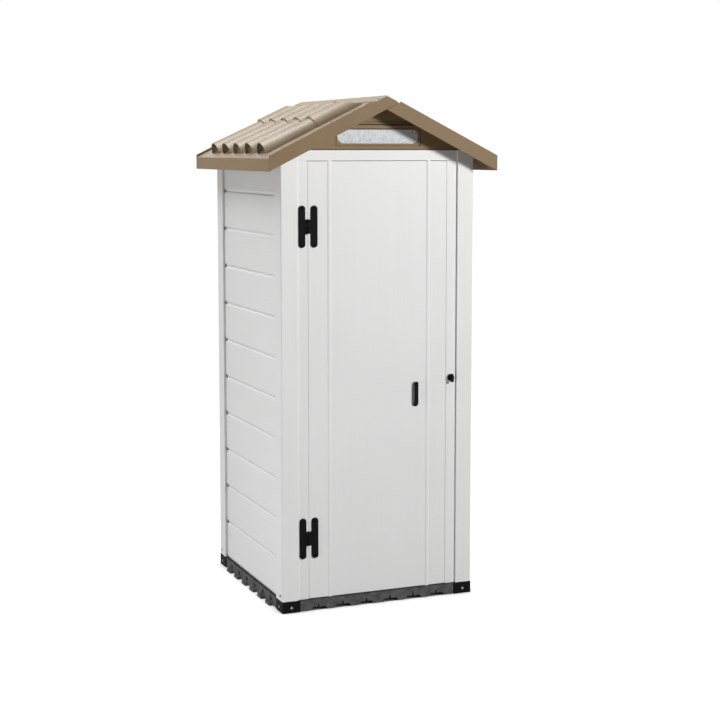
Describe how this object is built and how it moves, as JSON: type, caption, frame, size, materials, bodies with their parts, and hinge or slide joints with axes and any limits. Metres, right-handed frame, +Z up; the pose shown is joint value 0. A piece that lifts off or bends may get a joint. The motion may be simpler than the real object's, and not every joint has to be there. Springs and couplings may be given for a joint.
{
  "type": "tool shed",
  "caption": "Narrow resin tool shed with a tiled gable roof, a hinged front door with a pull handle and a turning lock, and a floor of clip tiles.",
  "frame": {"origin": "centre of the floor, on the ground", "axes": "+Z up, -Y out of the door, +X to the right of the door as seen from outside"},
  "size_m": [0.959, 0.968, 2.0223],
  "materials": {
    "white_resin": "satin extruded resin",
    "taupe_resin": "satin moulded resin",
    "roof_resin": "matte moulded resin",
    "black_resin": "moulded resin with a light sheen",
    "floor_resin": "coarse moulded resin",
    "speckled_pane": "translucent speckled sheet",
    "steel": "zinc plated",
    "chrome_plate": "satin plated"
  },
  "bodies": {
    "root": {"floor_tile_front_left": "floor_resin", "floor_tile_front_right": "floor_resin", "floor_tile_rear_left": "floor_resin", "floor_tile_rear_right": "floor_resin", "corner_foot_front_left": "black_resin", "corner_foot_front_right": "black_resin", "corner_foot_rear_left": "black_resin", "corner_foot_rear_right": "black_resin", "foot_screws": "steel", "corner_post_front_left": "white_resin", "corner_post_front_right": "white_resin", "corner_post_rear_left": "white_resin", "corner_post_rear_right": "white_resin", "post_screws": "steel", "left_wall_boards": "white_resin", "right_wall_boards": "white_resin", "rear_wall_boards": "white_resin", "wall_top_rail_left": "white_resin", "wall_top_rail_right": "white_resin", "door_jamb_left": "white_resin", "door_jamb_right": "white_resin", "door_header": "white_resin", "gable_panel_front": "taupe_resin", "gable_panel_rear": "taupe_resin", "window_surround": "taupe_resin", "window_pane": "speckled_pane", "ridge_beam": "white_resin", "roof_panel_left": "roof_resin", "roof_panel_right": "roof_resin", "ridge_cap": "roof_resin", "gable_fascia_front_left": "taupe_resin", "gable_fascia_front_right": "taupe_resin", "gable_fascia_rear_left": "taupe_resin", "gable_fascia_rear_right": "taupe_resin", "eave_fascia_left": "taupe_resin", "eave_fascia_right": "taupe_resin", "roof_screws": "steel", "hinge_frame_leaf_upper": "black_resin", "hinge_frame_leaf_lower": "black_resin", "hinge_pin_upper": "steel", "hinge_pin_lower": "steel", "hinge_frame_screws": "black_resin", "lock_rosette": "chrome_plate"},
    "door": {"door_panel_hinge_side": "white_resin", "door_panel_centre": "white_resin", "door_panel_lock_side": "white_resin", "door_bead_left": "white_resin", "door_bead_right": "white_resin", "door_cap_top": "white_resin", "door_cap_bottom": "white_resin", "hinge_door_leaf_upper": "black_resin", "hinge_door_leaf_lower": "black_resin", "hinge_door_screws": "black_resin", "door_handle": "black_resin"},
    "lock": {"lock_knob": "black_resin", "lock_cam": "steel"}
  },
  "joints": [
    {"name": "door_hinge", "type": "hinge", "parent": "root", "child": "door", "pos_m": [-0.296, -0.409, 0.905], "axis": [0, 0, -1], "range_deg": [0, 110]},
    {"name": "lock_turn", "type": "hinge", "parent": "root", "child": "lock", "pos_m": [0.316, -0.402, 0.897], "axis": [0, -1, 0], "range_deg": [0, 90]}
  ]
}
